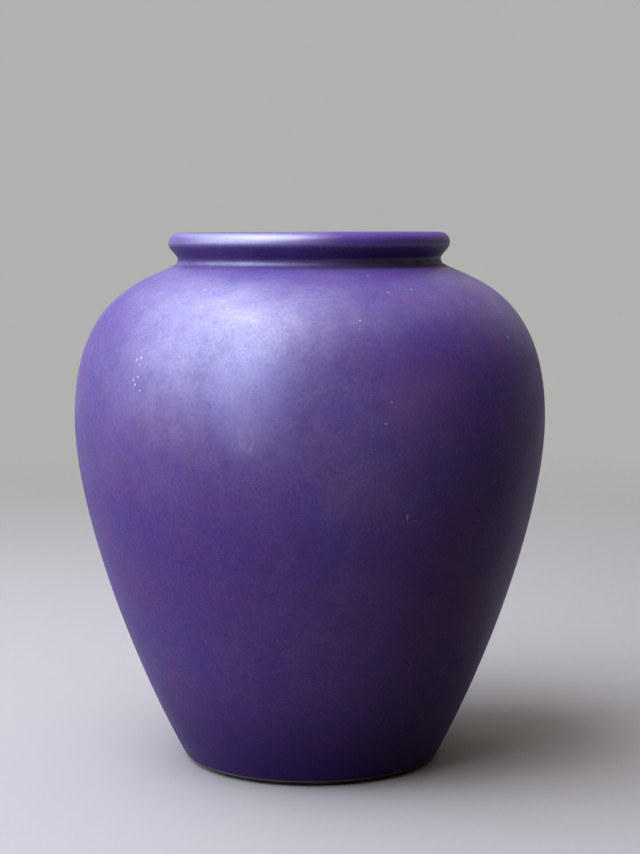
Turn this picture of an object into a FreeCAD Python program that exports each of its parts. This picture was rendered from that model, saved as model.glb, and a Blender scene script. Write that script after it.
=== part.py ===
import FreeCAD, Part
import math
import os

# Flower vase with a high shoulder, a short neck and a rolled lip.
# One fired clay body carries a coat of glaze outside, over the lip and into the throat,
# and another in the hollow under the foot. The inside and the ring it stands on are bare clay.
# Millimetres, +Z up. The origin is the centre of the circle that the foot stands on.

# Finished outside sizes, glaze included
overall_height = 230.0
belly_diameter = 204.0
belly_height = 150.0
neck_diameter = 113.8
foot_diameter = 112.2  # measured at the glaze line

# Run of the outside wall
foot_flare = 27.5  # degrees from upright where the wall leaves the foot
shoulder_slope = 28.5  # degrees below level where the shoulder meets the neck
straight_foot_height = 6.0  # the wall is a plain cone up to here
lower_wall_pull = 0.341  # share of the wall's height that it keeps the foot's slope
lower_belly_pull = 0.262  # share of the wall's height that it keeps upright under the belly
upper_belly_pull = 0.814  # share of the shoulder's height that it keeps upright over the belly
shoulder_pull = 0.305  # share of the shoulder's width that it keeps the slope at the neck

# Neck and rolled lip
neck_hollow_radius = 2.6
lip_overhang = 3.9
lip_roll_radius = 4.4
lip_underside_angle = 49.0  # degrees above level

# Clay thicknesses
neck_wall = 5.5
belly_wall = 5.5
foot_wall = 7.5
floor_thickness = 7.0
floor_corner_radius = 16.0  # where the inside wall turns into the floor

# Turned foot
bevel_height = 1.8
bevel_width = 2.8
standing_ring_width = 5.2
recess_depth = 2.6
recess_wall_lean = 0.8  # the recess is this much narrower at its ceiling

# Glaze coats
outer_glaze_thickness = 0.5
foot_glaze_thickness = 0.4
foot_glaze_margin = 1.0  # bare clay left round it in the recess
glaze_line_height = 2.6  # the wall is wiped bare below here


def point(radius, height):
    """A point of the half section, at a radius from the axis."""
    return FreeCAD.Vector(radius, 0, height)


def heading(degrees):
    """A unit step in the half section: 0 points away from the axis, 90 points up."""
    turn = math.radians(degrees)
    return point(math.cos(turn), math.sin(turn))


def line(start, end):
    return Part.LineSegment(start, end).toShape()


def arc(centre, radius, start_degrees, end_degrees):
    middle = (start_degrees + end_degrees) / 2
    start, between, end = (centre + heading(a) * radius for a in (start_degrees, middle, end_degrees))
    return Part.Arc(start, between, end).toShape()


def smooth_curve(start, start_heading, start_pull, end, end_heading, end_pull):
    """A curve that leaves start along one heading and arrives at end along another."""
    curve = Part.BezierCurve()
    curve.setPoles([start, start + start_heading * start_pull, end - end_heading * end_pull, end])
    return curve.toShape()


def turned(edges):
    """The solid that a closed half section sweeps round the axis."""
    section = Part.Face(Part.Wire(Part.__sortEdges__(edges)))
    return section.revolve(FreeCAD.Vector(0, 0, 0), FreeCAD.Vector(0, 0, 1), 360)


# Bare clay sizes, under the glaze
wall_heading = heading(90 - foot_flare)
wall_normal = heading(-foot_flare)
shoulder_heading = heading(-shoulder_slope)
clay_roll_radius = lip_roll_radius - outer_glaze_thickness
clay_hollow_radius = neck_hollow_radius + outer_glaze_thickness
throat_radius = clay_hollow_radius + neck_wall
clay_belly_radius = belly_diameter / 2 - outer_glaze_thickness

# The lip is a round roll. Its underside runs straight down to the hollow at the neck.
neck_radius = neck_diameter / 2
lip_centre = point(neck_radius + lip_overhang - lip_roll_radius, overall_height - lip_roll_radius)
underside_sine = math.sin(math.radians(lip_underside_angle))
underside_run = lip_overhang - (1 - underside_sine) * (lip_roll_radius + neck_hollow_radius)
underside_length = underside_run / math.cos(math.radians(lip_underside_angle))
underside_heading = heading(lip_underside_angle)
underside_normal = heading(lip_underside_angle - 90)
neck_centre = (
    lip_centre
    + underside_normal * (lip_roll_radius + neck_hollow_radius)
    - underside_heading * underside_length
)

# The throat is the straight funnel that touches the lip roll and the inside of the neck.
throat_gap = lip_centre - neck_centre
throat_lean = math.degrees(
    math.asin((throat_radius - clay_roll_radius) / throat_gap.Length)
    - math.atan2(-throat_gap.x, throat_gap.z)
)
throat_normal_degrees = 180 - throat_lean

# Where the wall meets the foot, the standing ring and the floor
glaze_line_point = point(foot_diameter / 2, glaze_line_height) - wall_normal * outer_glaze_thickness
floor_height = recess_depth + floor_thickness


def up_the_wall(height):
    """The point of the clay's outside cone at a height."""
    climb = (height - glaze_line_point.z) / wall_heading.z
    return glaze_line_point + wall_heading * climb


def floor_corner_centre():
    """The centre of the round corner between the floor and the inside wall."""
    drop = floor_corner_radius * math.sin(math.radians(foot_flare))
    wall_end = up_the_wall(floor_height + floor_corner_radius - drop)
    inside_wall_end = wall_end - point(foot_wall / wall_normal.x, 0)
    return inside_wall_end - wall_normal * floor_corner_radius


def outside_edges(coat):
    """The outside from the top of the foot's cone, over the lip, to the end of the throat.

    A coat of 0 gives the clay, and a glaze's thickness gives that glaze's own surface.
    """
    foot_end = up_the_wall(straight_foot_height) + wall_normal * coat
    belly = point(clay_belly_radius + coat, belly_height)
    neck_end = neck_centre + heading(270 - shoulder_slope) * (clay_hollow_radius - coat)
    wall_height = belly.z - foot_end.z
    wall = smooth_curve(
        foot_end, wall_heading, lower_wall_pull * wall_height,
        belly, heading(90), lower_belly_pull * wall_height,
    )
    shoulder = smooth_curve(
        belly, heading(90), upper_belly_pull * (neck_end.z - belly.z),
        neck_end, -shoulder_heading, shoulder_pull * (belly.x - neck_end.x),
    )
    hollow = arc(neck_centre, clay_hollow_radius - coat, 270 - shoulder_slope, 90 + lip_underside_angle)
    underside_start = neck_centre - underside_normal * (clay_hollow_radius - coat)
    underside = line(underside_start, underside_start + underside_heading * underside_length)
    roll_radius = clay_roll_radius + coat
    roll = arc(lip_centre, roll_radius, lip_underside_angle - 90, throat_normal_degrees)
    throat = line(
        lip_centre + heading(throat_normal_degrees) * roll_radius,
        neck_centre + heading(throat_normal_degrees) * (throat_radius + coat),
    )
    return [wall, shoulder, hollow, underside, roll, throat]


def inside_edges():
    """The inside from the end of the throat, down the wall, to the middle of the floor."""
    bend = arc(neck_centre, throat_radius, throat_normal_degrees, 270 - shoulder_slope)
    shoulder_start = neck_centre + heading(270 - shoulder_slope) * throat_radius
    belly = point(clay_belly_radius - belly_wall, belly_height)
    shoulder = smooth_curve(
        shoulder_start, shoulder_heading, shoulder_pull * (belly.x - shoulder_start.x),
        belly, heading(-90), upper_belly_pull * (shoulder_start.z - belly.z),
    )
    corner_centre = floor_corner_centre()
    wall_end = corner_centre + wall_normal * floor_corner_radius
    wall_height = belly.z - wall_end.z
    wall = smooth_curve(
        belly, heading(-90), lower_belly_pull * wall_height,
        wall_end, -wall_heading, lower_wall_pull * wall_height,
    )
    corner = arc(corner_centre, floor_corner_radius, -foot_flare, -90)
    floor = line(point(corner_centre.x, floor_height), point(0, floor_height))
    return [bend, shoulder, wall, corner, floor]


def recess_radius():
    """The radius of the recess's ceiling."""
    return up_the_wall(bevel_height).x - bevel_width - standing_ring_width - recess_wall_lean


def foot_edges():
    """The underside, from the middle of the recess to the top of the foot's cone."""
    ring_outside = point(up_the_wall(bevel_height).x - bevel_width, 0)
    ring_inside = ring_outside - point(standing_ring_width, 0)
    ceiling_edge = point(recess_radius(), recess_depth)
    return [
        line(point(0, recess_depth), ceiling_edge),
        line(ceiling_edge, ring_inside),
        line(ring_inside, ring_outside),
        line(ring_outside, up_the_wall(bevel_height)),
        line(up_the_wall(bevel_height), up_the_wall(straight_foot_height)),
    ]


def clay_body():
    """The wall, floor, neck and rolled lip, with the turned foot under them."""
    middle = line(point(0, floor_height), point(0, recess_depth))
    return turned(foot_edges() + outside_edges(0) + inside_edges() + [middle])


def outer_glaze():
    """The coat outside, from the glaze line over the lip to where it ends in the throat."""
    coat = outer_glaze_thickness
    cone_end = up_the_wall(straight_foot_height)
    foot_edge = glaze_line_point + (wall_normal + wall_heading) * coat
    clay_side = [line(glaze_line_point, cone_end)] + outside_edges(0)
    open_side = [line(foot_edge, cone_end + wall_normal * coat)] + outside_edges(coat)
    throat_end = neck_centre + heading(throat_normal_degrees) * throat_radius
    throat_edge = line(throat_end, throat_end + heading(throat_normal_degrees) * coat)
    return turned(clay_side + [throat_edge] + open_side + [line(foot_edge, glaze_line_point)])


def foot_glaze():
    """The coat on the ceiling of the recess, bevelled off at its edge."""
    edge_radius = recess_radius() - foot_glaze_margin
    lower_height = recess_depth - foot_glaze_thickness
    corners = [
        point(0, recess_depth),
        point(edge_radius, recess_depth),
        point(edge_radius - foot_glaze_thickness, lower_height),
        point(0, lower_height),
    ]
    return turned([line(a, b) for a, b in zip(corners, corners[1:] + corners[:1])])


def main():
    os.makedirs("parts", exist_ok=True)
    pieces = {
        "clay_body": clay_body(),
        "outer_glaze": outer_glaze(),
        "foot_glaze": foot_glaze(),
    }
    for name, solid in pieces.items():
        solid.exportStep(f"parts/{name}.step")
        print(name, "volume", round(solid.Volume, 1), "closed and valid:", solid.isValid())


main()
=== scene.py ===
import math
import bpy
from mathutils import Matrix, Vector


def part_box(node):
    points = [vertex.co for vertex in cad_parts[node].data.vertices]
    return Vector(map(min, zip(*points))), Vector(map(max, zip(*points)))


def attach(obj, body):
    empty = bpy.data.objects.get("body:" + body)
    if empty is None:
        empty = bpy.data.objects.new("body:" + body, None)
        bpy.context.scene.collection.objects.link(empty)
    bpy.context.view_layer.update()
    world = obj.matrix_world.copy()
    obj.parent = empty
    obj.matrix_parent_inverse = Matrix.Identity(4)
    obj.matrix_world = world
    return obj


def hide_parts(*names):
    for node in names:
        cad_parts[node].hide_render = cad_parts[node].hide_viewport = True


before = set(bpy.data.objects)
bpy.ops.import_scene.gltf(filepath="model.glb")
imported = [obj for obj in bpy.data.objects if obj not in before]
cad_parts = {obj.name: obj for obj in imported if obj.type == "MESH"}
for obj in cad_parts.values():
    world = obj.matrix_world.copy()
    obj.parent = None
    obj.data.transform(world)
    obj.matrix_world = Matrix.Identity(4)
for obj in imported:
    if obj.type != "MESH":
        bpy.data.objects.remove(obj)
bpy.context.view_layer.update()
mm = 0.001
print("frame loaded:", ", ".join(sorted(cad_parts)))


# helpers for working in edit mode

def selectNothing():
    if bpy.context.object and bpy.context.object.mode != "OBJECT":
        bpy.ops.object.mode_set(mode="OBJECT")
    bpy.ops.object.select_all(action="DESELECT")


def workOn(piece):
    selectNothing()
    piece.select_set(True)
    bpy.context.view_layer.objects.active = piece


def applyModifiers(piece):
    workOn(piece)
    for modifier in list(piece.modifiers):
        bpy.ops.object.modifier_apply(modifier=modifier.name)


def pickVertices(piece, wanted):
    # selects the vertices that wanted(place) says yes to, and goes back to edit mode
    bpy.ops.mesh.select_all(action="DESELECT")
    bpy.ops.object.mode_set(mode="OBJECT")
    for vertex in piece.data.vertices:
        vertex.select = wanted(vertex.co)
    bpy.ops.object.mode_set(mode="EDIT")
    bpy.ops.mesh.select_mode(type="VERT")


def turnOnWheel(name, section, segments, closedStart=False, closedEnd=False):
    # a ring at the section's first point is drawn out, ring by ring, to its last point
    selectNothing()
    radius, height = section[0]
    bpy.ops.mesh.primitive_circle_add(
        vertices=segments, radius=radius, location=(0, 0, height),
        fill_type="TRIFAN" if closedStart else "NOTHING",
    )
    piece = bpy.context.object
    piece.name = piece.data.name = name
    bpy.ops.object.transform_apply(location=True, rotation=True, scale=True)
    bpy.ops.object.mode_set(mode="EDIT")
    bpy.ops.mesh.select_mode(type="EDGE")
    bpy.ops.mesh.select_all(action="SELECT")
    if closedStart:
        bpy.ops.mesh.region_to_loop()
    for nextRadius, nextHeight in section[1:]:
        rise = (0, 0, nextHeight - height)
        bpy.ops.mesh.extrude_region_move(TRANSFORM_OT_translate={"value": rise})
        growth = nextRadius / radius
        bpy.ops.transform.resize(value=(growth, growth, 1), center_override=(0, 0, nextHeight))
        radius, height = nextRadius, nextHeight
    if closedEnd:
        bpy.ops.mesh.merge(type="CENTER")
    bpy.ops.mesh.select_all(action="SELECT")
    bpy.ops.mesh.normals_make_consistent(inside=False)
    bpy.ops.object.mode_set(mode="OBJECT")
    return piece


# the half section, as points (radius, height) in metres

outline = {
    "segments": 192,            # round the vase
    "neckRadius": 56.9 * mm,
    "bellyHeight": 150 * mm,
    "glazeLineRadius": 56.1 * mm,
    "glazeLineHeight": 2.6 * mm,
    "footFlare": 27.5,          # degrees from upright
    "shoulderSlope": 28.5,      # degrees below level
    "straightFoot": 6 * mm,
    "lowerWallPull": 0.341,     # how far each end of a curve keeps its direction,
    "lowerBellyPull": 0.262,    # as a share of the curve's height
    "upperBellyPull": 0.814,
    "shoulderPull": 0.305,      # and this one of its width
    "hollowRadius": 2.6 * mm,
    "lipOverhang": 3.9 * mm,
    "rollRadius": 4.4 * mm,
    "underside": 49.0,          # degrees above level
    "neckWall": 5.5 * mm,
    "glaze": 0.5 * mm,
    "middle": 2 * mm,           # floors are closed from this radius to their centre
    "closest": 0.01 * mm,       # points nearer to each other than this are one
}
outlineSteps = {"wall": 46, "shoulder": 30, "hollow": 12, "underside": 2, "roll": 30, "throat": 3}


def heading(degrees):
    turn = math.radians(degrees)
    return Vector((math.cos(turn), math.sin(turn)))


def arcPoints(centre, radius, start, end, count):
    return [centre + heading(start + (end - start) * i / count) * radius for i in range(count + 1)]


def curvePoints(start, startPull, end, endPull, count):
    # leaves start along startPull and comes into end along endPull
    early, late = start + startPull, end - endPull
    points = []
    for i in range(count + 1):
        t = i / count
        s = 1 - t
        points.append(start * s**3 + early * 3 * s * s * t + late * 3 * s * t * t + end * t**3)
    return points


def linePoints(start, end, count):
    return [start.lerp(end, i / count) for i in range(count + 1)]


def joined(*runs):
    points = []
    for run in runs:
        for point in run:
            if not points or (point - points[-1]).length > outline["closest"]:
                points.append(point)
    return points


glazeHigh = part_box("outer_glaze")[1]
overallHeight = glazeHigh.z
bellyRadius = glazeHigh.x
wallUp = heading(90 - outline["footFlare"])
wallOut = heading(-outline["footFlare"])
shoulderIn = heading(180 - outline["shoulderSlope"])
neckTurn = 270 - outline["shoulderSlope"]
glazeLine = Vector((outline["glazeLineRadius"], outline["glazeLineHeight"])) - wallOut * outline["glaze"]


def lipAndNeck():
    # the centres of the lip's roll and of the hollow under it, the underside's length,
    # and the direction and radius of the throat
    rise = math.radians(outline["underside"])
    roll, hollow, coat = outline["rollRadius"], outline["hollowRadius"], outline["glaze"]
    lip = Vector((outline["neckRadius"] + outline["lipOverhang"] - roll, overallHeight - roll))
    run = (outline["lipOverhang"] - (1 - math.sin(rise)) * (roll + hollow)) / math.cos(rise)
    neck = lip + heading(outline["underside"] - 90) * (roll + hollow) - heading(outline["underside"]) * run
    gap = lip - neck
    throat = hollow + coat + outline["neckWall"]
    lean = math.asin((throat - roll + coat) / gap.length) - math.atan2(-gap.x, gap.y)
    return lip, neck, run, 180 - math.degrees(lean), throat


lipCentre, neckCentre, undersideRun, throatTurn, throatRadius = lipAndNeck()


def upTheWall(height):
    return glazeLine + wallUp * ((height - glazeLine.y) / wallUp.y)


def outsidePoints(coat, fineness=1.0):
    # from the top of the foot's cone, over the lip, to the end of the throat
    # a coat of 0 gives the bare clay's surface, and the glaze's thickness gives its own
    def steps(name):
        return max(2, round(outlineSteps[name] * fineness))

    foot = upTheWall(outline["straightFoot"]) + wallOut * coat
    belly = Vector((bellyRadius - outline["glaze"] + coat, outline["bellyHeight"]))
    hollow = outline["hollowRadius"] + outline["glaze"] - coat
    roll = outline["rollRadius"] - outline["glaze"] + coat
    neckEnd = neckCentre + heading(neckTurn) * hollow
    rise, drop, width = belly.y - foot.y, neckEnd.y - belly.y, belly.x - neckEnd.x
    up, throat = Vector((0, 1)), heading(throatTurn)
    under = neckCentre - heading(outline["underside"] - 90) * hollow
    return joined(
        curvePoints(foot, wallUp * rise * outline["lowerWallPull"],
                    belly, up * rise * outline["lowerBellyPull"], steps("wall")),
        curvePoints(belly, up * drop * outline["upperBellyPull"],
                    neckEnd, shoulderIn * width * outline["shoulderPull"], steps("shoulder")),
        arcPoints(neckCentre, hollow, neckTurn, 90 + outline["underside"], steps("hollow")),
        linePoints(under, under + heading(outline["underside"]) * undersideRun, outlineSteps["underside"]),
        arcPoints(lipCentre, roll, outline["underside"] - 90, throatTurn, steps("roll")),
        linePoints(lipCentre + throat * roll, neckCentre + throat * (throatRadius + coat),
                   outlineSteps["throat"]),
    )


# the rim sits a little askew: low at the front, at its full height at the back

rimDip = {
    "drop": 0.4 * mm,
    "above": 215.5 * mm,
    "reach": 30 * mm,           # how far down the shoulder gives way with it
}


def dipRim(piece):
    back = outline["neckRadius"] + outline["lipOverhang"]
    workOn(piece)
    bpy.ops.object.mode_set(mode="EDIT")
    pickVertices(piece, lambda place: place.z > rimDip["above"])
    bpy.ops.transform.rotate(
        value=-math.asin(rimDip["drop"] / (2 * back)), orient_axis="X",
        center_override=(0, back, overallHeight),
        use_proportional_edit=True, proportional_edit_falloff="SMOOTH", proportional_size=rimDip["reach"],
    )
    bpy.ops.object.mode_set(mode="OBJECT")


# helpers for shader nodes

def feed(tree, node, inputs):
    # a socket is linked to its input, and anything else is set as its value
    for key, value in inputs.items():
        if isinstance(value, bpy.types.NodeSocket):
            tree.links.new(value, node.inputs[key])
        else:
            node.inputs[key].default_value = value


def addNode(tree, kind, inputs=None, **settings):
    node = tree.nodes.new("ShaderNode" + kind)
    for key, value in settings.items():
        setattr(node, key, value)
    feed(tree, node, inputs or {})
    return node


def placeGroup(tree, group, **inputs):
    node = tree.nodes.new("ShaderNodeGroup")
    node.node_tree = group
    feed(tree, node, inputs)
    return node.outputs[0]


def compute(tree, operation, a, b=0.0, c=0.0, clamp=False):
    return addNode(tree, "Math", {0: a, 1: b, 2: c}, operation=operation, use_clamp=clamp).outputs[0]


def remap(tree, value, low, high, toLow=0.0, toHigh=1.0, smooth=False):
    kind = "SMOOTHSTEP" if smooth else "LINEAR"
    inputs = {0: value, 1: low, 2: high, 3: toLow, 4: toHigh}
    return addNode(tree, "MapRange", inputs, interpolation_type=kind).outputs[0]


def mixColours(tree, mask, first, second, blend="MIX"):
    inputs = {0: mask, 6: first, 7: second}
    return addNode(tree, "Mix", inputs, data_type="RGBA", blend_type=blend).outputs[2]


def addBump(tree, shader, height, strength, distance):
    bump = addNode(tree, "Bump", {"Height": height, "Strength": strength, "Distance": distance})
    tree.links.new(bump.outputs[0], shader.inputs["Normal"])


# shader node groups that the materials share

def newGroup(name, inputs, output):
    group = bpy.data.node_groups.new(name, "ShaderNodeTree")
    group.interface.new_socket(name="Place", in_out="INPUT", socket_type="NodeSocketVector")
    for socketName, value in inputs.items():
        kind = "Vector" if isinstance(value, tuple) else "Float"
        socket = group.interface.new_socket(name=socketName, in_out="INPUT",
                                            socket_type="NodeSocket" + kind)
        socket.default_value = value
    group.interface.new_socket(name=output, in_out="OUTPUT", socket_type="NodeSocketFloat")
    return group, group.nodes.new("NodeGroupInput").outputs, group.nodes.new("NodeGroupOutput").inputs


def makeMottle():
    # cloudy patches, 0 to 1
    group, given, out = newGroup("mottle", {"Scale": 60.0, "Stretch": 1.0, "Contrast": 0.2}, "Mask")
    squash = addNode(group, "CombineXYZ", {0: 1.0, 1: 1.0, 2: given["Stretch"]}).outputs[0]
    place = addNode(group, "VectorMath", {0: given["Place"], 1: squash}, operation="MULTIPLY").outputs[0]
    inputs = {"Vector": place, "Scale": given["Scale"], "Detail": 4.0, "Roughness": 0.6}
    noise = addNode(group, "TexNoise", inputs).outputs["Fac"]
    low = compute(group, "SUBTRACT", 0.5, given["Contrast"])
    high = compute(group, "ADD", 0.5, given["Contrast"])
    group.links.new(remap(group, noise, low, high), out["Mask"])
    return group


def makeSpecks():
    # scattered round specks: Share of the cells hold one, Radius is in cell sizes
    group, given, out = newGroup("specks", {"Scale": 300.0, "Share": 0.2, "Radius": 0.2}, "Mask")
    inputs = {"Vector": given["Place"], "Scale": given["Scale"], "Randomness": 1.0}
    cells = addNode(group, "TexVoronoi", inputs)
    shade = addNode(group, "SeparateColor", {0: cells.outputs["Color"]}).outputs
    chosen = compute(group, "LESS_THAN", shade[0], given["Share"])
    size = compute(group, "MULTIPLY", given["Radius"], compute(group, "ADD", shade[1], 0.4))
    core = compute(group, "MULTIPLY", size, 0.5)
    spot = remap(group, cells.outputs["Distance"], size, core, smooth=True)
    group.links.new(compute(group, "MULTIPLY", chosen, spot, clamp=True), out["Mask"])
    return group


def makeGrain():
    # fine unevenness of a fired surface, as a height
    group, given, out = newGroup("grain", {"Scale": 900.0, "Coarse": 0.5}, "Height")
    inputs = {"Vector": given["Place"], "Scale": given["Scale"], "Detail": 2.0, "Roughness": 0.55}
    fine = addNode(group, "TexNoise", inputs).outputs["Fac"]
    wide = compute(group, "MULTIPLY", given["Scale"], 0.22)
    inputs = {"Vector": given["Place"], "Scale": wide, "Detail": 2.0}
    broad = addNode(group, "TexNoise", inputs).outputs["Fac"]
    group.links.new(compute(group, "MULTIPLY_ADD", broad, given["Coarse"], fine), out["Height"])
    return group


def makeBand():
    # 1 between two heights, fading over Feather outside them
    group, given, out = newGroup("band", {"Low": 0.0, "High": 0.1, "Feather": 0.002}, "Mask")
    height = addNode(group, "SeparateXYZ", {0: given["Place"]}).outputs[2]
    start = compute(group, "SUBTRACT", given["Low"], given["Feather"])
    stop = compute(group, "ADD", given["High"], given["Feather"])
    rise = remap(group, height, start, given["Low"], smooth=True)
    fall = remap(group, height, stop, given["High"], smooth=True)
    group.links.new(compute(group, "MULTIPLY", rise, fall, clamp=True), out["Mask"])
    return group


def makeBlot():
    # one soft spot: 1 within Radius of Centre, fading over Softness radii, Tall times as tall as it is wide
    inputs = {"Centre": (0.0, 0.0, 0.0), "Radius": 0.001, "Softness": 0.5, "Tall": 1.0}
    group, given, out = newGroup("blot", inputs, "Mask")
    ends = {0: given["Place"], 1: given["Centre"]}
    offset = addNode(group, "VectorMath", ends, operation="SUBTRACT").outputs[0]
    upright = compute(group, "DIVIDE", 1.0, given["Tall"])
    squash = addNode(group, "CombineXYZ", {0: 1.0, 1: 1.0, 2: upright}).outputs[0]
    squashed = addNode(group, "VectorMath", {0: offset, 1: squash}, operation="MULTIPLY").outputs[0]
    distance = addNode(group, "VectorMath", {0: squashed}, operation="LENGTH").outputs["Value"]
    edge = compute(group, "MULTIPLY", given["Radius"], compute(group, "ADD", 1.0, given["Softness"]))
    group.links.new(remap(group, distance, edge, given["Radius"], smooth=True), out["Mask"])
    return group


mottleGroup = makeMottle()
specksGroup = makeSpecks()
grainGroup = makeGrain()
bandGroup = makeBand()
blotGroup = makeBlot()


# what the two finishes are painted with

def onTheGlaze(degrees, height):
    # the place on the glaze's outside at that many degrees round from the front
    section = outsidePoints(outline["glaze"])
    low, high = next(pair for pair in zip(section, section[1:]) if pair[0].y <= height <= pair[1].y)
    radius = low.x + (high.x - low.x) * (height - low.y) / (high.y - low.y)
    turn = math.radians(degrees)
    return Vector((radius * math.sin(turn), -radius * math.cos(turn), height))


class Brush:
    # makes masks over one material's surface and joins them

    def __init__(self, tree):
        self.tree = tree
        self.place = tree.nodes.new("ShaderNodeTexCoord").outputs["Object"]
        parts = addNode(tree, "SeparateXYZ", {0: self.place}).outputs
        self.across, self.up = parts[0], parts[2]

    def mottle(self, scale, contrast, stretch=1.0, least=0.0, most=1.0):
        mask = placeGroup(self.tree, mottleGroup, Place=self.place, Scale=scale, Contrast=contrast,
                          Stretch=stretch)
        return remap(self.tree, mask, 0.0, 1.0, least, most)

    def specks(self, scale, share, radius, strength):
        mask = placeGroup(self.tree, specksGroup, Place=self.place, Scale=scale, Share=share,
                          Radius=radius)
        return self.times(mask, strength)

    def band(self, low, high, feather):
        return placeGroup(self.tree, bandGroup, Place=self.place, Low=low, High=high, Feather=feather)

    def blot(self, mark, softness, tall, strength):
        degrees, height, radius = mark
        centre = onTheGlaze(degrees, height * mm)
        mask = placeGroup(self.tree, blotGroup, Place=self.place, Centre=centre, Radius=radius * mm,
                          Softness=softness, Tall=tall)
        return self.times(mask, strength)

    def grain(self, scale, coarse):
        return placeGroup(self.tree, grainGroup, Place=self.place, Scale=scale, Coarse=coarse)

    def climb(self, start, end, first, last):
        return remap(self.tree, self.up, start, end, first, last, smooth=True)

    def cross(self, start, end, first, last):
        return remap(self.tree, self.across, start, end, first, last, smooth=True)

    def times(self, mask, *others):
        for other in others:
            mask = compute(self.tree, "MULTIPLY", mask, other)
        return mask

    def most(self, mask, *others):
        for other in others:
            mask = compute(self.tree, "MAXIMUM", mask, other)
        return mask

    def less(self, mask, other):
        return compute(self.tree, "SUBTRACT", mask, other, clamp=True)

    def paint(self, mask, under, over):
        return mixColours(self.tree, mask, under, over)


def newMaterial(name):
    material = bpy.data.materials.new(name)
    material.use_nodes = True
    return material, material.node_tree, material.node_tree.nodes["Principled BSDF"]


def dressIn(piece, material):
    piece.data.materials.clear()
    piece.data.materials.append(material)


# the purple glaze

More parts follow.
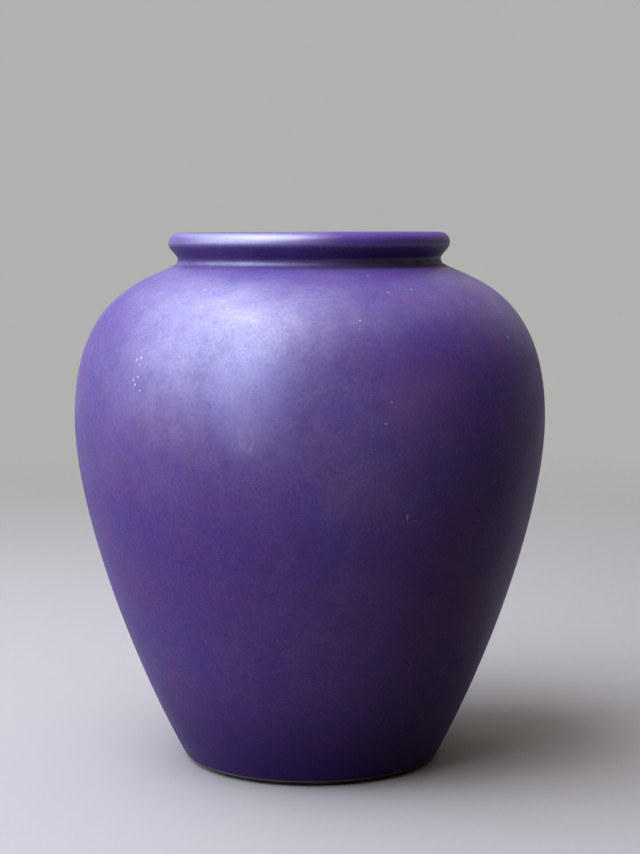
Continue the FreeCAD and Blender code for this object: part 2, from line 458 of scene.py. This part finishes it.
glazeLook = {
    "colours": {
        "blue": (0.101, 0.047, 0.270, 1),
        "red": (0.143, 0.053, 0.248, 1),
        # painted shade near the foot
        "footShadeColour": (0.050, 0.012, 0.150, 1),
        "warm": (0.190, 0.055, 0.240, 1),
        # painted reflection of the sky
        "paintedSkyGlint": (0.130, 0.090, 0.620, 1),
        "pinhole": (0.040, 0.016, 0.085, 1),
        "crystal": (0.210, 0.140, 0.400, 1),
        # the groove's painted shade with some grime, then its dust, painted pale where lit
        "grooveShadeAndGrime": (0.034, 0.036, 0.040, 1),
        "litGrooveDust": (0.36, 0.31, 0.56, 1),
        # pale pink of the smear, partly a painted highlight
        "glintSmear": (0.260, 0.140, 0.330, 1),
        "speck": (0.80, 0.76, 0.90, 1),
    },
    # scale, contrast, stretch along the height, least, most
    "mottles": {
        "broadClouds": (38.0, 0.14, 1.0, 0.0, 0.65),
        "smallClouds": (120.0, 0.15, 1.0, 0.0, 0.35),
        "fineShade": (700.0, 0.22, 1.0, 0.79, 1.21),
        "softShade": (260.0, 0.25, 1.0, 0.93, 1.07),
        "streaks": (120.0, 0.25, 0.12, 0.95, 1.05),
        "grooveShadeAndGrime": (150.0, 0.20, 1.0, 0.60, 0.90),
        "litGrooveDust": (130.0, 0.12, 1.0, 0.0, 1.0),
        "glintSmear": (220.0, 0.20, 1.0, 0.0, 0.8),
        "roughness": (55.0, 0.25, 1.0, 0.44, 0.54),
        "broadGloss": (48.0, 0.14, 1.0, 0.65, 1.0),
        "smallGloss": (150.0, 0.15, 1.0, 0.82, 1.0),
        "fineGloss": (800.0, 0.18, 1.0, 0.68, 1.0),
    },
    # scale, share of the cells, radius in cells, strength
    "specks": {
        "finePinholes": (480.0, 0.35, 0.24, 0.8),
        "pinholes": (230.0, 0.22, 0.11, 1.0),
        "crystals": (400.0, 0.30, 0.24, 0.22),
        "motes": (70.0, 0.10, 0.022, 0.6),
    },
    # lower edge, upper edge, feather
    "bands": {
        "underLip": (219.0 * mm, 223.5 * mm, 1.8 * mm),     # painted shade and less gloss under the lip's roll
        # painted shade with some grime in the groove under the lip
        "grooveShadeAndGrime": (215.5 * mm, 217.8 * mm, 1.2 * mm),
        "litGrooveDust": (216.6 * mm, 217.2 * mm, 0.6 * mm),
        "lip": (225.5 * mm, 231.0 * mm, 1.5 * mm),
    },
    # height, other height, value at the one, value at the other
    "climbs": {
        # painted light: the lit shoulder is painted bluer
        "litShoulderBlue": (100 * mm, 186 * mm, 0.0, 0.25),
        "paintedFootShade": (6 * mm, 55 * mm, 0.80, 1.0),       # painted shade, darker towards the foot
        # painted shade: the colour deepens towards the foot
        "paintedFootDeepening": (4 * mm, 50 * mm, 0.65, 0.0),
        "gloss": (100 * mm, 186 * mm, 0.16, 1.0),
        "footGloss": (4 * mm, 60 * mm, 0.0, 1.0),
        "shoulderGloss": (170 * mm, 200 * mm, 0.0, 0.7),
    },
    # the same along X: the satin is drier towards +X, the groove's painted shade is darker towards the
    # shaded +X side, and its pale dust is painted mainly on the lit -X side
    "crossings": {
        "grooveShadeAndGrime": (-20 * mm, 30 * mm, 0.35, 1.0),
        "litGrooveDust": (5 * mm, -20 * mm, 0.05, 0.42),
        "dryLip": (-6 * mm, 18 * mm, 0.0, 0.85),
        "wallGloss": (0.0, 78 * mm, 1.0, 0.03),
    },
    # degrees round from the front, height in mm, radius in mm
    "marks": {
        "specks": (
            (-43.2, 180.3, 0.32), (-44.5, 179.5, 0.22), (-43.2, 177.5, 0.18), (-43.0, 172.9, 0.22),
            (-44.4, 171.5, 0.22), (-43.7, 169.8, 0.26), (-41.8, 167.6, 0.22), (21.1, 212.6, 0.28),
            (13.0, 195.5, 0.20), (59.2, 186.7, 0.30), (18.5, 164.4, 0.18), (17.0, 156.1, 0.20),
            (23.8, 206.1, 0.22), (32.6, 207.0, 0.24), (-66.5, 210.5, 0.26), (-40.9, 209.9, 0.20),
            (-32.7, 207.0, 0.24), (-54.6, 214.6, 0.26), (-40.8, 214.6, 0.22),
        ),
        # a thumb smear with drips, partly a painted highlight: pale pink where a glint falls
        "glintSmear": (-13.6, 150.4, 2.6),
        "glintSmearCore": (-13.6, 150.4, 1.8),
        "drips": ((-14.9, 152.8, 0.7), (-12.6, 146.4, 0.5), (-14.1, 148.1, 0.5)),
        "scratch": (23.0, 118.7, 0.22),
        "warm": ((-33.7, 156.0, 6.5), (25.2, 168.0, 8.0), (33.0, 84.0, 14.0)),
        # painted reflection of the sky: a blue patch
        "paintedSkyGlint": (-13.0, 168.0, 8.0),
        "polished": ((-13.0, 168.0, 8.0), (-14.0, 152.0, 4.5)),
    },
    # softness in radii, height against width, strength
    "edges": {
        "specks": (1.6, 1.0, 0.65),
        "glintSmear": (0.5, 1.7, 1.0),
        "glintSmearCore": (0.5, 1.7, 0.55),
        "drips": (1.5, 1.8, 0.45),
        "scratch": (0.8, 13.0, 0.5),
        "warm": (2.2, 1.0, 0.30),
        "paintedSkyGlint": (2.2, 1.0, 0.24),
        "polished": (2.0, 1.0, 0.26),
    },
    # painted shade under the lip: how dark the colour gets there
    "underLipPaintedShade": 0.62,
    "underLipGloss": 0.25,
    "pinholeColour": 0.30,
    "pinholeGloss": 0.25,       # how much of the gloss a pinhole takes away
    "pinholeDepth": 0.8,
    "dullRoughness": 0.9,
    "grain": (1100.0, 0.9),
    "bump": (0.5, 0.12 * mm),
    "ior": 1.28,
    "coatRoughness": 0.45,
    "coatIor": 2.7,
}


def purpleGround(brush, underLip):
    # clouds of bluish and reddish purple, painted bluer on the lit shoulder, with fine mottling and faint
    # runs, and painted shade under the lip and towards the foot
    tree, colours = brush.tree, glazeLook["colours"]
    mottles, climbs = glazeLook["mottles"], glazeLook["climbs"]
    broad, small = (brush.mottle(*mottles[name]) for name in ("broadClouds", "smallClouds"))
    clouds = compute(tree, "ADD", broad, small)
    clouds = brush.less(clouds, remap(tree, brush.up, *climbs["litShoulderBlue"]))
    purple = brush.paint(clouds, colours["blue"], colours["red"])
    shades = [brush.mottle(*mottles[name]) for name in ("fineShade", "softShade", "streaks")]
    underLipDarkening = remap(tree, underLip, 0.0, 1.0, 1.0, glazeLook["underLipPaintedShade"])
    shade = brush.times(*shades, underLipDarkening, brush.climb(*climbs["paintedFootShade"]))
    grey = addNode(tree, "CombineColor", {0: shade, 1: shade, 2: shade}).outputs[0]
    return mixColours(tree, 1.0, purple, grey, "MULTIPLY")


def grooveMasks(brush):
    # under the lip: painted shade with some grime in the groove all round, darker towards +X, and a broken
    # line of pale dust painted mainly on the lit -X side
    masks = []
    for name in ("grooveShadeAndGrime", "litGrooveDust"):
        band = brush.band(*glazeLook["bands"][name])
        mottle = brush.mottle(*glazeLook["mottles"][name])
        masks.append(brush.times(band, mottle, brush.cross(*glazeLook["crossings"][name])))
    return masks


def paleMotes(brush):
    # the specks and the scratch, and a few motes more all round
    marks, edges = glazeLook["marks"], glazeLook["edges"]
    placed = [brush.blot(mark, *edges["specks"]) for mark in marks["specks"]]
    scratch = brush.blot(marks["scratch"], *edges["scratch"])
    return brush.most(brush.specks(*glazeLook["specks"]["motes"]), *placed, scratch)


def glazeColour(brush, underLip, pinholes, grooveShadeAndGrime, litGrooveDust, motes):
    colours, marks, edges = glazeLook["colours"], glazeLook["marks"], glazeLook["edges"]
    colour = purpleGround(brush, underLip)
    colour = brush.paint(brush.times(pinholes, glazeLook["pinholeColour"]), colour, colours["pinhole"])
    colour = brush.paint(brush.specks(*glazeLook["specks"]["crystals"]), colour, colours["crystal"])
    colour = brush.paint(grooveShadeAndGrime, colour, colours["grooveShadeAndGrime"])
    colour = brush.paint(litGrooveDust, colour, colours["litGrooveDust"])
    for mark in marks["warm"]:
        colour = brush.paint(brush.blot(mark, *edges["warm"]), colour, colours["warm"])
    # a smear ring and drips, partly a painted highlight, in pale pink
    glintSmear, core = (brush.blot(marks[name], *edges[name]) for name in ("glintSmear", "glintSmearCore"))
    ring = brush.times(brush.less(glintSmear, core), brush.mottle(*glazeLook["mottles"]["glintSmear"]))
    colour = brush.paint(ring, colour, colours["glintSmear"])
    for mark in marks["drips"]:
        colour = brush.paint(brush.blot(mark, *edges["drips"]), colour, colours["glintSmear"])
    colour = brush.paint(motes, colour, colours["speck"])
    # painted reflection of the sky as a blue patch
    colour = brush.paint(brush.blot(marks["paintedSkyGlint"], *edges["paintedSkyGlint"]), colour, colours["paintedSkyGlint"])
    # painted shade: deeper colour towards the foot
    return brush.paint(brush.climb(*glazeLook["climbs"]["paintedFootDeepening"]), colour, colours["footShadeColour"])


def glazeGloss(brush, underLip, pinholes, dull):
    # glossy on lip and shoulder, dry on the lower wall, at the foot, in the groove and towards +X
    tree, climbs, crossings = brush.tree, glazeLook["climbs"], glazeLook["crossings"]
    mottles = glazeLook["mottles"]
    patches = [brush.mottle(*mottles[name]) for name in ("broadGloss", "smallGloss", "fineGloss")]
    gloss = brush.times(brush.climb(*climbs["gloss"]), *patches)
    for mark in glazeLook["marks"]["polished"]:
        gloss = compute(tree, "ADD", gloss, brush.blot(mark, *glazeLook["edges"]["polished"]), clamp=True)
    lip = brush.band(*glazeLook["bands"]["lip"])
    wetLip = brush.less(1.0, brush.times(lip, brush.cross(*crossings["dryLip"])))
    underLipDarkening = remap(tree, underLip, 0.0, 1.0, 1.0, glazeLook["underLipGloss"])
    wall = brush.most(brush.cross(*crossings["wallGloss"]), brush.climb(*climbs["shoulderGloss"]))
    clean = brush.less(1.0, brush.most(dull, brush.times(pinholes, glazeLook["pinholeGloss"])))
    foot = brush.climb(*climbs["footGloss"])
    return brush.times(brush.most(gloss, lip), wetLip, underLipDarkening, wall, foot, clean)


def makePurpleGlaze():
    material, tree, shader = newMaterial("purpleGlaze")
    brush = Brush(tree)
    underLip = brush.band(*glazeLook["bands"]["underLip"])
    specks = glazeLook["specks"]
    pinholes = brush.most(brush.specks(*specks["finePinholes"]), brush.specks(*specks["pinholes"]))
    grooveShadeAndGrime, litGrooveDust = grooveMasks(brush)
    motes = paleMotes(brush)
    dull = brush.most(litGrooveDust, grooveShadeAndGrime, motes)
    rough = brush.most(brush.mottle(*glazeLook["mottles"]["roughness"]),
                       brush.times(dull, glazeLook["dullRoughness"]))
    tree.links.new(glazeColour(brush, underLip, pinholes, grooveShadeAndGrime, litGrooveDust, motes), shader.inputs["Base Color"])
    tree.links.new(rough, shader.inputs["Roughness"])
    tree.links.new(glazeGloss(brush, underLip, pinholes, dull), shader.inputs["Coat Weight"])
    shader.inputs["IOR"].default_value = glazeLook["ior"]
    shader.inputs["Coat Roughness"].default_value = glazeLook["coatRoughness"]
    shader.inputs["Coat IOR"].default_value = glazeLook["coatIor"]
    pits = brush.times(pinholes, glazeLook["pinholeDepth"])
    height = compute(tree, "SUBTRACT", brush.grain(*glazeLook["grain"]), pits)
    addBump(tree, shader, height, *glazeLook["bump"])
    return material


purpleGlaze = makePurpleGlaze()


# the bare clay

clayLook = {
    "pale": (0.56, 0.47, 0.38, 1),
    "warm": (0.47, 0.37, 0.28, 1),
    "grog": (0.20, 0.15, 0.11, 1),
    # painted shade of the foot's bevel
    "bevelShadeColour": (0.045, 0.036, 0.036, 1),
    "clouds": (45.0, 0.2),
    "grogSpecks": (650.0, 0.2, 0.25, 0.5),
    "shadedBevel": (-1.0 * mm, 2.0 * mm, 0.3 * mm),      # painted shade on the foot's bevel, up to just past it
    "bevelShadeMottle": (160.0, 0.2, 1.0, 0.75, 1.0),
    "roughness": 0.85,
    "grain": (1400.0, 0.5),
    "bump": (0.5, 0.15 * mm),
}


def makeBareClay():
    material, tree, shader = newMaterial("bareClay")
    brush = Brush(tree)
    colour = brush.paint(brush.mottle(*clayLook["clouds"]), clayLook["pale"], clayLook["warm"])
    colour = brush.paint(brush.specks(*clayLook["grogSpecks"]), colour, clayLook["grog"])
    # painted shade over the foot's bevel, broken up by a mottle
    bevelShadeMask = brush.times(brush.band(*clayLook["shadedBevel"]), brush.mottle(*clayLook["bevelShadeMottle"]))
    colour = brush.paint(bevelShadeMask, colour, clayLook["bevelShadeColour"])
    tree.links.new(colour, shader.inputs["Base Color"])
    shader.inputs["Roughness"].default_value = clayLook["roughness"]
    addBump(tree, shader, brush.grain(*clayLook["grain"]), *clayLook["bump"])
    return material


bareClay = makeBareClay()
print("materials made")


# the glaze coat outside, from the glaze line over the lip into the throat

glazeCoat = {
    # how the coat swells out from its lower edge: height above the glaze line, share of its thickness
    "softEnd": ((0.2 * mm, 0.25), (0.6 * mm, 0.8), (1.2 * mm, 1.0)),
    "thickness": 0.9,           # of the glaze; the rest keeps its inside off the clay
    "sharpOver": 50,            # degrees
}


def makeVaseGlaze():
    coat = outline["glaze"]
    softEnd = [upTheWall(outline["glazeLineHeight"] + rise) + wallOut * share * coat
               for rise, share in glazeCoat["softEnd"]]
    footTop = upTheWall(outline["straightFoot"]) + wallOut * coat
    section = joined(softEnd, linePoints(softEnd[-1], footTop, 2), outsidePoints(coat))
    piece = turnOnWheel("vase_glaze", section, outline["segments"])
    thickness = piece.modifiers.new("thickness", "SOLIDIFY")
    thickness.thickness = glazeCoat["thickness"] * coat
    thickness.offset = -1
    applyModifiers(piece)
    dipRim(piece)
    bpy.ops.object.shade_smooth_by_angle(angle=math.radians(glazeCoat["sharpOver"]))
    dressIn(piece, purpleGlaze)
    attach(piece, "root")
    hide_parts("outer_glaze")
    return piece


vaseGlaze = makeVaseGlaze()
print("vase_glaze turned:", len(vaseGlaze.data.polygons), "faces")


# the clay body

clayWalls = {
    "belly": 5.5 * mm,
    "foot": 7.5 * mm,
    "recess": 2.6 * mm,
    "floor": 9.6 * mm,          # its height inside
    "cornerRadius": 16 * mm,
    "bevelHeight": 1.8 * mm,
    "bevelWidth": 2.8 * mm,
    "ringWidth": 5.2 * mm,
    "recessLean": 0.8 * mm,
    "softEdge": 0.35 * mm,      # how much is taken off the foot's edges along the flat
    "softLean": 0.3,            # and, as shares of that, along the recess's wall and the bevel
    "softBevel": 0.6,
    "outsideFineness": 0.6,     # share of the glaze's rings, because the glaze hides this side
    "sharpOver": 40,            # degrees
}


def footPoints():
    # the underside, from near the middle of the recess to the foot's cone
    walls, soft = clayWalls, clayWalls["softEdge"]
    bevelTop = upTheWall(walls["bevelHeight"])
    ringOut = Vector((bevelTop.x - walls["bevelWidth"], 0))
    ringIn = ringOut - Vector((walls["ringWidth"], 0))
    ceiling = Vector((ringIn.x - walls["recessLean"], walls["recess"]))
    alongFlat = Vector((soft, 0))
    alongWall = Vector((-walls["softLean"] * soft, soft))
    alongBevel = Vector((soft, walls["softBevel"] * soft))
    middle = Vector((outline["middle"], walls["recess"]))
    return joined(
        linePoints(middle, ceiling - alongFlat, 12),
        linePoints(ceiling - Vector((0, soft)), ringIn + alongWall, 2),
        linePoints(ringIn + alongFlat, ringOut - alongFlat, 3),
        linePoints(ringOut + alongBevel, bevelTop - alongBevel, 3),
        linePoints(bevelTop + wallUp * soft, upTheWall(outline["straightFoot"]), 3),
    )


def insidePoints():
    # from the end of the throat, down the wall, to near the middle of the floor
    walls, corner = clayWalls, clayWalls["cornerRadius"]
    belly = Vector((bellyRadius - outline["glaze"] - walls["belly"], outline["bellyHeight"]))
    shoulderStart = neckCentre + heading(neckTurn) * throatRadius
    cornerDrop = corner * math.sin(math.radians(outline["footFlare"]))
    wallEnd = upTheWall(walls["floor"] + corner - cornerDrop) - Vector((walls["foot"] / wallOut.x, 0))
    cornerCentre = wallEnd - wallOut * corner
    drop, width, fall = shoulderStart.y - belly.y, belly.x - shoulderStart.x, belly.y - wallEnd.y
    down = Vector((0, -1))
    middle = Vector((outline["middle"], walls["floor"]))
    return joined(
        arcPoints(neckCentre, throatRadius, throatTurn, neckTurn, 14),
        curvePoints(shoulderStart, -shoulderIn * width * outline["shoulderPull"],
                    belly, down * drop * outline["upperBellyPull"], 24),
        curvePoints(belly, down * fall * outline["lowerBellyPull"],
                    wallEnd, -wallUp * fall * outline["lowerWallPull"], 36),
        arcPoints(cornerCentre, corner, -outline["footFlare"], -90, 10),
        linePoints(Vector((cornerCentre.x, walls["floor"])), middle, 10),
    )


def makeVaseClay():
    section = joined(footPoints(), outsidePoints(0, clayWalls["outsideFineness"]), insidePoints())
    piece = turnOnWheel("vase_clay", section, outline["segments"], closedStart=True, closedEnd=True)
    dipRim(piece)
    bpy.ops.object.shade_smooth_by_angle(angle=math.radians(clayWalls["sharpOver"]))
    dressIn(piece, bareClay)
    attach(piece, "root")
    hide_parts("clay_body")
    return piece


vaseClay = makeVaseClay()
print("vase_clay turned:", len(vaseClay.data.polygons), "faces")

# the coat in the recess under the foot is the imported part's own
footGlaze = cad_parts["foot_glaze"]
footGlaze.data.materials.clear()
footGlaze.data.materials.append(purpleGlaze)


# floor and backdrop, one round sweep

stageLook = {
    "seen": (0.52, 0.475, 0.42, 1),     # the floor near the vase, as seen or mirrored
    "bounce": (0.032, 0.025, 0.020, 1), # the same floor for the light that it scatters
    "glow": (0.44, 0.44, 0.43, 1),      # the far floor and the backdrop
    "black": (0, 0, 0, 1),
    "innerRadius": 0.05,
    "flatRadius": 1.9,
    "sweepRadius": 0.6,
    "rimHeight": 0.95,
    "segments": 96,
    "rings": 12,                # in the flat and in the bend
    "glowStarts": 0.3,
    "glowFull": 1.2,
    "roughness": 0.9,
}


def makeStagePaper():
    look = stageLook
    material, tree, shader = newMaterial("stagePaper")
    path = tree.nodes.new("ShaderNodeLightPath")
    seen = compute(tree, "MAXIMUM", path.outputs["Is Camera Ray"], path.outputs["Is Glossy Ray"])
    seen = compute(tree, "MAXIMUM", seen, path.outputs["Is Transmission Ray"])
    place = tree.nodes.new("ShaderNodeTexCoord").outputs["Object"]
    distance = addNode(tree, "VectorMath", {0: place}, operation="LENGTH").outputs["Value"]
    far = remap(tree, distance, look["glowStarts"], look["glowFull"], smooth=True)
    glowing = compute(tree, "MULTIPLY", seen, far)
    near = mixColours(tree, seen, look["bounce"], look["seen"])
    tree.links.new(mixColours(tree, glowing, near, look["black"]), shader.inputs["Base Color"])
    tree.links.new(mixColours(tree, glowing, look["black"], look["glow"]), shader.inputs["Emission Color"])
    shader.inputs["Emission Strength"].default_value = 1.0
    shader.inputs["Roughness"].default_value = look["roughness"]
    shader.inputs["Specular IOR Level"].default_value = 0.0
    return material


def makeStage():
    look = stageLook
    flat, sweep, rings = look["flatRadius"], look["sweepRadius"], look["rings"]
    section = joined(
        linePoints(Vector((look["innerRadius"], 0)), Vector((flat, 0)), rings),
        arcPoints(Vector((flat, sweep)), sweep, -90, 0, rings),
        [Vector((flat + sweep, look["rimHeight"]))],
    )
    floor = turnOnWheel("stage_sweep", section, look["segments"], closedStart=True)
    workOn(floor)
    bpy.ops.object.mode_set(mode="EDIT")
    bpy.ops.mesh.select_all(action="SELECT")
    bpy.ops.mesh.normals_make_consistent(inside=True)
    bpy.ops.object.mode_set(mode="OBJECT")
    bpy.ops.object.shade_smooth()
    floor.data.materials.append(makeStagePaper())


makeStage()


# lamps

lamps = {
    # azimuth from the camera's side, elevation, distance, width, height, radiance, colour
    "window": (-65, 33, 1.3, 1.7, 1.15, 3.5, (0.67, 0.755, 1.0)),
    "skylight": (-75, 70, 1.3, 1.1, 0.7, 5.2, (0.67, 0.755, 1.0)),
    "overhead": (-36, 58, 1.4, 1.0, 0.8, 2.4, (0.84, 0.87, 1.0)),
    "ceiling": (55, 76, 1.5, 1.2, 1.2, 0.8, (1.0, 0.88, 0.94)),
    "side": (-132, 50, 1.3, 0.95, 0.8, 1.5, (0.70, 0.79, 1.0)),
    "back": (-165, 45, 1.3, 1.1, 0.8, 0.5, (0.90, 0.94, 1.0)),
    "fill": (80, 30, 1.5, 1.2, 1.2, 0.03, (1.0, 0.93, 0.92)),
    "farSide": (142, 38, 1.3, 1.0, 0.8, 0.55, (1.0, 0.97, 0.95)),
}
worldLight = {"Color": (1, 0.95, 0.95, 1), "Strength": 0.03}
lampAim = Vector((0, 0, 0.12))


def hangLamp(name, azimuth, elevation, distance, width, height, radiance, colour):
    selectNothing()
    turn, rise = math.radians(azimuth), math.radians(elevation)
    towards = Vector((math.sin(turn) * math.cos(rise), -math.cos(turn) * math.cos(rise), math.sin(rise)))
    bpy.ops.object.light_add(type="AREA", location=lampAim + towards * distance,
                             rotation=towards.to_track_quat("Z", "Y").to_euler())
    lamp = bpy.context.object
    lamp.name = "lamp_" + name
    lamp.data.shape = "RECTANGLE"
    lamp.data.size, lamp.data.size_y = width, height
    lamp.data.energy = radiance * math.pi * width * height
    lamp.data.color = colour
    lamp.visible_camera = False


for name, settings in lamps.items():
    hangLamp(name, *settings)

world = bpy.data.worlds.new("studio")
world.use_nodes = True
feed(world.node_tree, world.node_tree.nodes["Background"], worldLight)
bpy.context.scene.world = world
bpy.context.scene.view_settings.view_transform = "Standard"
print("stage and lamps set")


# camera

cameraPlace = {
    "location": (0.0047, -0.8264, 0.230),
    "pitchDown": 5.87,          # degrees
    "roll": 0.25,
    "lens": 80.1,
    "sensor": 36,
}
selectNothing()
bpy.ops.object.camera_add(
    location=cameraPlace["location"],
    rotation=(math.radians(90 - cameraPlace["pitchDown"]), math.radians(cameraPlace["roll"]), 0),
)
camera = bpy.context.object
camera.data.lens = cameraPlace["lens"]
camera.data.sensor_width = cameraPlace["sensor"]
bpy.context.scene.camera = camera
